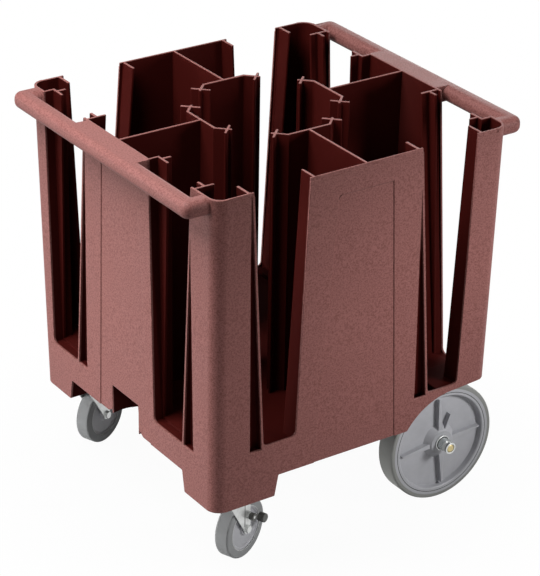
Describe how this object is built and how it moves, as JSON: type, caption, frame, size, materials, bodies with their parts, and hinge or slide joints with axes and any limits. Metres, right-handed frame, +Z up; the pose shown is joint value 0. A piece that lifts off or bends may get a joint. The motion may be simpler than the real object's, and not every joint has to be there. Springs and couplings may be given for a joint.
{
  "type": "plate dispenser cart",
  "caption": "Moulded brown plate dispenser cart with four open plate columns, end push handles, braked swivel casters in front and large fixed wheels behind",
  "frame": {"origin": "On the floor under the middle of the whole cart, handles included", "axes": "+Z up, +X along the cart towards the fixed wheels, +Y towards the cart's left side as seen from the caster end"},
  "size_m": [0.774, 0.68, 0.82],
  "materials": {
    "body": "fine pebbled moulded plastic",
    "hub": "smooth grey moulded plastic",
    "tyre": "grey non-marking rubber",
    "zinc": "bright zinc plate",
    "yellow_zinc": "yellow zinc plate",
    "dark": "dark moulded plastic"
  },
  "bodies": {
    "chassis": {"base_deck": "body", "column_floors": "body", "skirt_front": "body", "skirt_rear": "body", "skirt_right": "body", "skirt_left": "body", "caster_pad_right": "body", "caster_pad_left": "body", "axle_leg_right": "body", "axle_leg_left": "body", "post_front_right": "body", "post_front_left": "body", "post_rear_right": "body", "post_rear_left": "body", "tower_front": "body", "tower_rear": "body", "tower_right": "body", "tower_left": "body", "handle_front": "body", "handle_rear": "body", "axle_rod": "yellow_zinc", "axle_spacer_right": "zinc", "axle_washer_right": "zinc", "axle_collar_right": "zinc", "caster_plate_right": "zinc", "plate_bolts_right": "zinc", "swivel_race_right": "zinc", "kingpin_right": "zinc", "axle_spacer_left": "zinc", "axle_washer_left": "zinc", "axle_collar_left": "zinc", "caster_plate_left": "zinc", "plate_bolts_left": "zinc", "swivel_race_left": "zinc", "kingpin_left": "zinc"},
    "swivel_right": {"caster_fork_right": "zinc", "caster_axle_right": "zinc", "caster_nut_right": "zinc", "caster_sleeve_right": "zinc", "brake_pin_right": "zinc"},
    "caster_wheel_right": {"caster_hub_right": "hub", "caster_tyre_right": "tyre"},
    "brake_right": {"brake_lever_right": "zinc", "brake_tip_right": "dark"},
    "rear_wheel_right": {"wheel_hub_right": "hub", "wheel_tyre_right": "tyre", "wheel_bushing_right": "dark"},
    "swivel_left": {"caster_fork_left": "zinc", "caster_axle_left": "zinc", "caster_nut_left": "zinc", "caster_sleeve_left": "zinc", "brake_pin_left": "zinc"},
    "caster_wheel_left": {"caster_hub_left": "hub", "caster_tyre_left": "tyre"},
    "brake_left": {"brake_lever_left": "zinc", "brake_tip_left": "dark"},
    "rear_wheel_left": {"wheel_hub_left": "hub", "wheel_tyre_left": "tyre", "wheel_bushing_left": "dark"}
  },
  "joints": [
    {"name": "swivel_right_turn", "type": "hinge", "parent": "chassis", "child": "swivel_right", "pos_m": [-0.255, -0.269, 0.144], "axis": [0, 0, 1], "continuous": true},
    {"name": "caster_wheel_right_roll", "type": "hinge", "parent": "swivel_right", "child": "caster_wheel_right", "pos_m": [-0.22157, -0.25563, 0.0635], "axis": [-0.3714, 0.9285, 0], "continuous": true},
    {"name": "brake_right_press", "type": "hinge", "parent": "swivel_right", "child": "brake_right", "pos_m": [-0.20819, -0.27295, 0.0915], "axis": [-0.3714, 0.9285, 0], "range_deg": [0, 15]},
    {"name": "rear_wheel_right_roll", "type": "hinge", "parent": "chassis", "child": "rear_wheel_right", "pos_m": [0.244, -0.274, 0.127], "axis": [0, 1, 0], "continuous": true},
    {"name": "swivel_left_turn", "type": "hinge", "parent": "chassis", "child": "swivel_left", "pos_m": [-0.255, 0.269, 0.144], "axis": [0, 0, 1], "continuous": true},
    {"name": "caster_wheel_left_roll", "type": "hinge", "parent": "swivel_left", "child": "caster_wheel_left", "pos_m": [-0.22169, 0.28266, 0.0635], "axis": [-0.3795, 0.9252, 0], "continuous": true},
    {"name": "brake_left_press", "type": "hinge", "parent": "swivel_left", "child": "brake_left", "pos_m": [-0.20815, 0.26546, 0.0915], "axis": [-0.3795, 0.9252, 0], "range_deg": [0, 15]},
    {"name": "rear_wheel_left_roll", "type": "hinge", "parent": "chassis", "child": "rear_wheel_left", "pos_m": [0.244, 0.274, 0.127], "axis": [0, 1, 0], "continuous": true}
  ]
}
